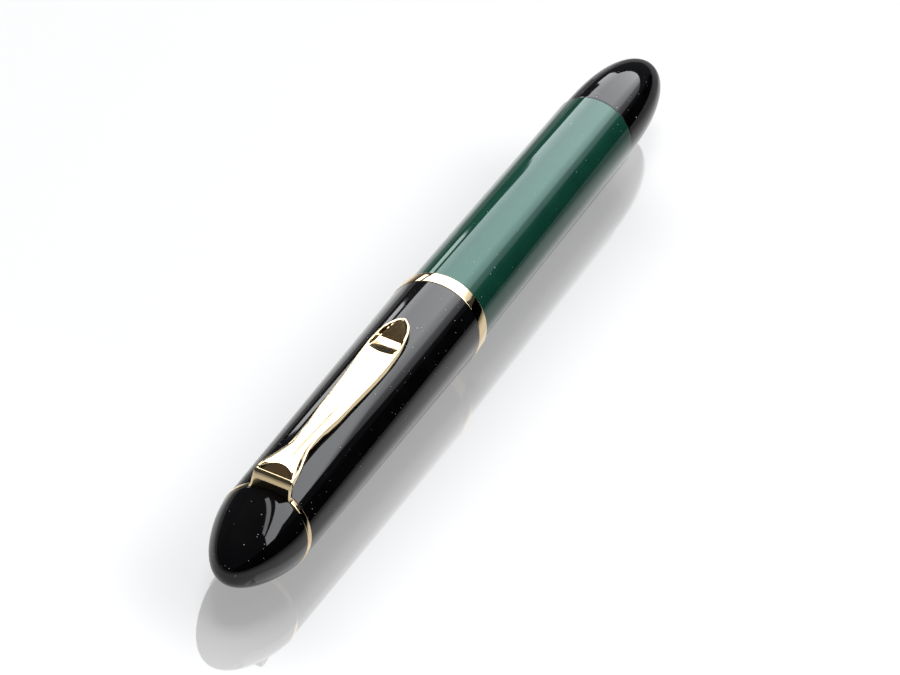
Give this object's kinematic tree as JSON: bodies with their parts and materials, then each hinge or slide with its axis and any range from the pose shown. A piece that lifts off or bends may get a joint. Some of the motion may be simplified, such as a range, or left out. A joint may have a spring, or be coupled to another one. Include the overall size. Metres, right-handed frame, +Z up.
{
  "type": "fountain pen",
  "caption": "Piston-filling fountain pen with a black screw cap, round-ended spring clip, gilt trim, green barrel and turning tail knob, shown closed.",
  "frame": {"origin": "under the middle of the capped pen's length, on the surface it lies on", "axes": "+X along the pen from the cap's crown towards the piston knob, +Z up through the clip"},
  "size_m": [0.1266, 0.0126, 0.0143],
  "materials": {
    "black_resin": "polished black resin",
    "green_resin": "polished dark green resin",
    "gilt_trim": "polished gold plate",
    "nib_gold": "polished gold plate on steel",
    "tipping_metal": "polished hard alloy",
    "black_ebonite": "satin moulded plastic",
    "ink_window": "dark tinted clear resin",
    "white_nylon": "moulded nylon",
    "grey_nylon": "moulded nylon",
    "seal_rubber": "moulded rubber",
    "brass_insert": "turned brass"
  },
  "bodies": {
    "pen_body": {"grip_section": "black_resin", "nib_collar": "black_ebonite", "nib": "nib_gold", "nib_tipping": "tipping_metal", "feed": "black_ebonite", "ink_window": "ink_window", "barrel": "green_resin", "piston_guide": "grey_nylon", "guide_lock_ring": "brass_insert"},
    "cap_liner": {"inner_cap": "black_ebonite"},
    "cap_trim": {"cap_band": "gilt_trim"},
    "cap": {"cap_crown": "black_resin", "cap_tube": "black_resin", "clip_ring": "gilt_trim"},
    "clip": {"clip": "gilt_trim"},
    "spindle": {"piston_spindle": "grey_nylon", "knob_friction_ring": "seal_rubber"},
    "knob": {"piston_knob": "black_resin"},
    "piston": {"piston_head": "white_nylon", "piston_seal": "seal_rubber", "piston_rod": "white_nylon"}
  },
  "joints": [
    {"name": "cap_pull", "type": "slide", "parent": "pen_body", "child": "cap_liner", "axis": [-1, 0, 0], "range_m": [0, 0.06]},
    {"name": "cap_lift", "type": "slide", "parent": "cap_liner", "child": "cap_trim", "axis": [-1, 0, 0], "range_m": [0, 0.0024]},
    {"name": "cap_turn", "type": "hinge", "parent": "cap_trim", "child": "cap", "pos_m": [-0.0527, 0, 0.00629], "axis": [-1, 0, 0], "range_deg": [0, 270.5]},
    {"name": "clip_flex", "type": "hinge", "parent": "cap", "child": "clip", "pos_m": [-0.0524, 0, 0.01299], "axis": [0, -1, 0], "range_deg": [0, 3], "stiffness_Nm_per_rad": 4},
    {"name": "knob_out", "type": "slide", "parent": "pen_body", "child": "spindle", "axis": [1, 0, 0], "range_m": [0, 0.00451]},
    {"name": "knob_turn", "type": "hinge", "parent": "spindle", "child": "knob", "pos_m": [0.04525, 0, 0.00629], "axis": [1, 0, 0], "range_deg": [0, 1081]},
    {"name": "piston_travel", "type": "slide", "parent": "pen_body", "child": "piston", "axis": [-1, 0, 0], "range_m": [0, 0.021]}
  ],
  "couplings": [
    {"joint": "cap_turn", "follows": "cap_lift", "rad_per_m": 1963.5},
    {"joint": "knob_turn", "follows": "piston_travel", "rad_per_m": 897.6},
    {"joint": "knob_out", "follows": "piston_travel", "ratio": 0.21429}
  ]
}
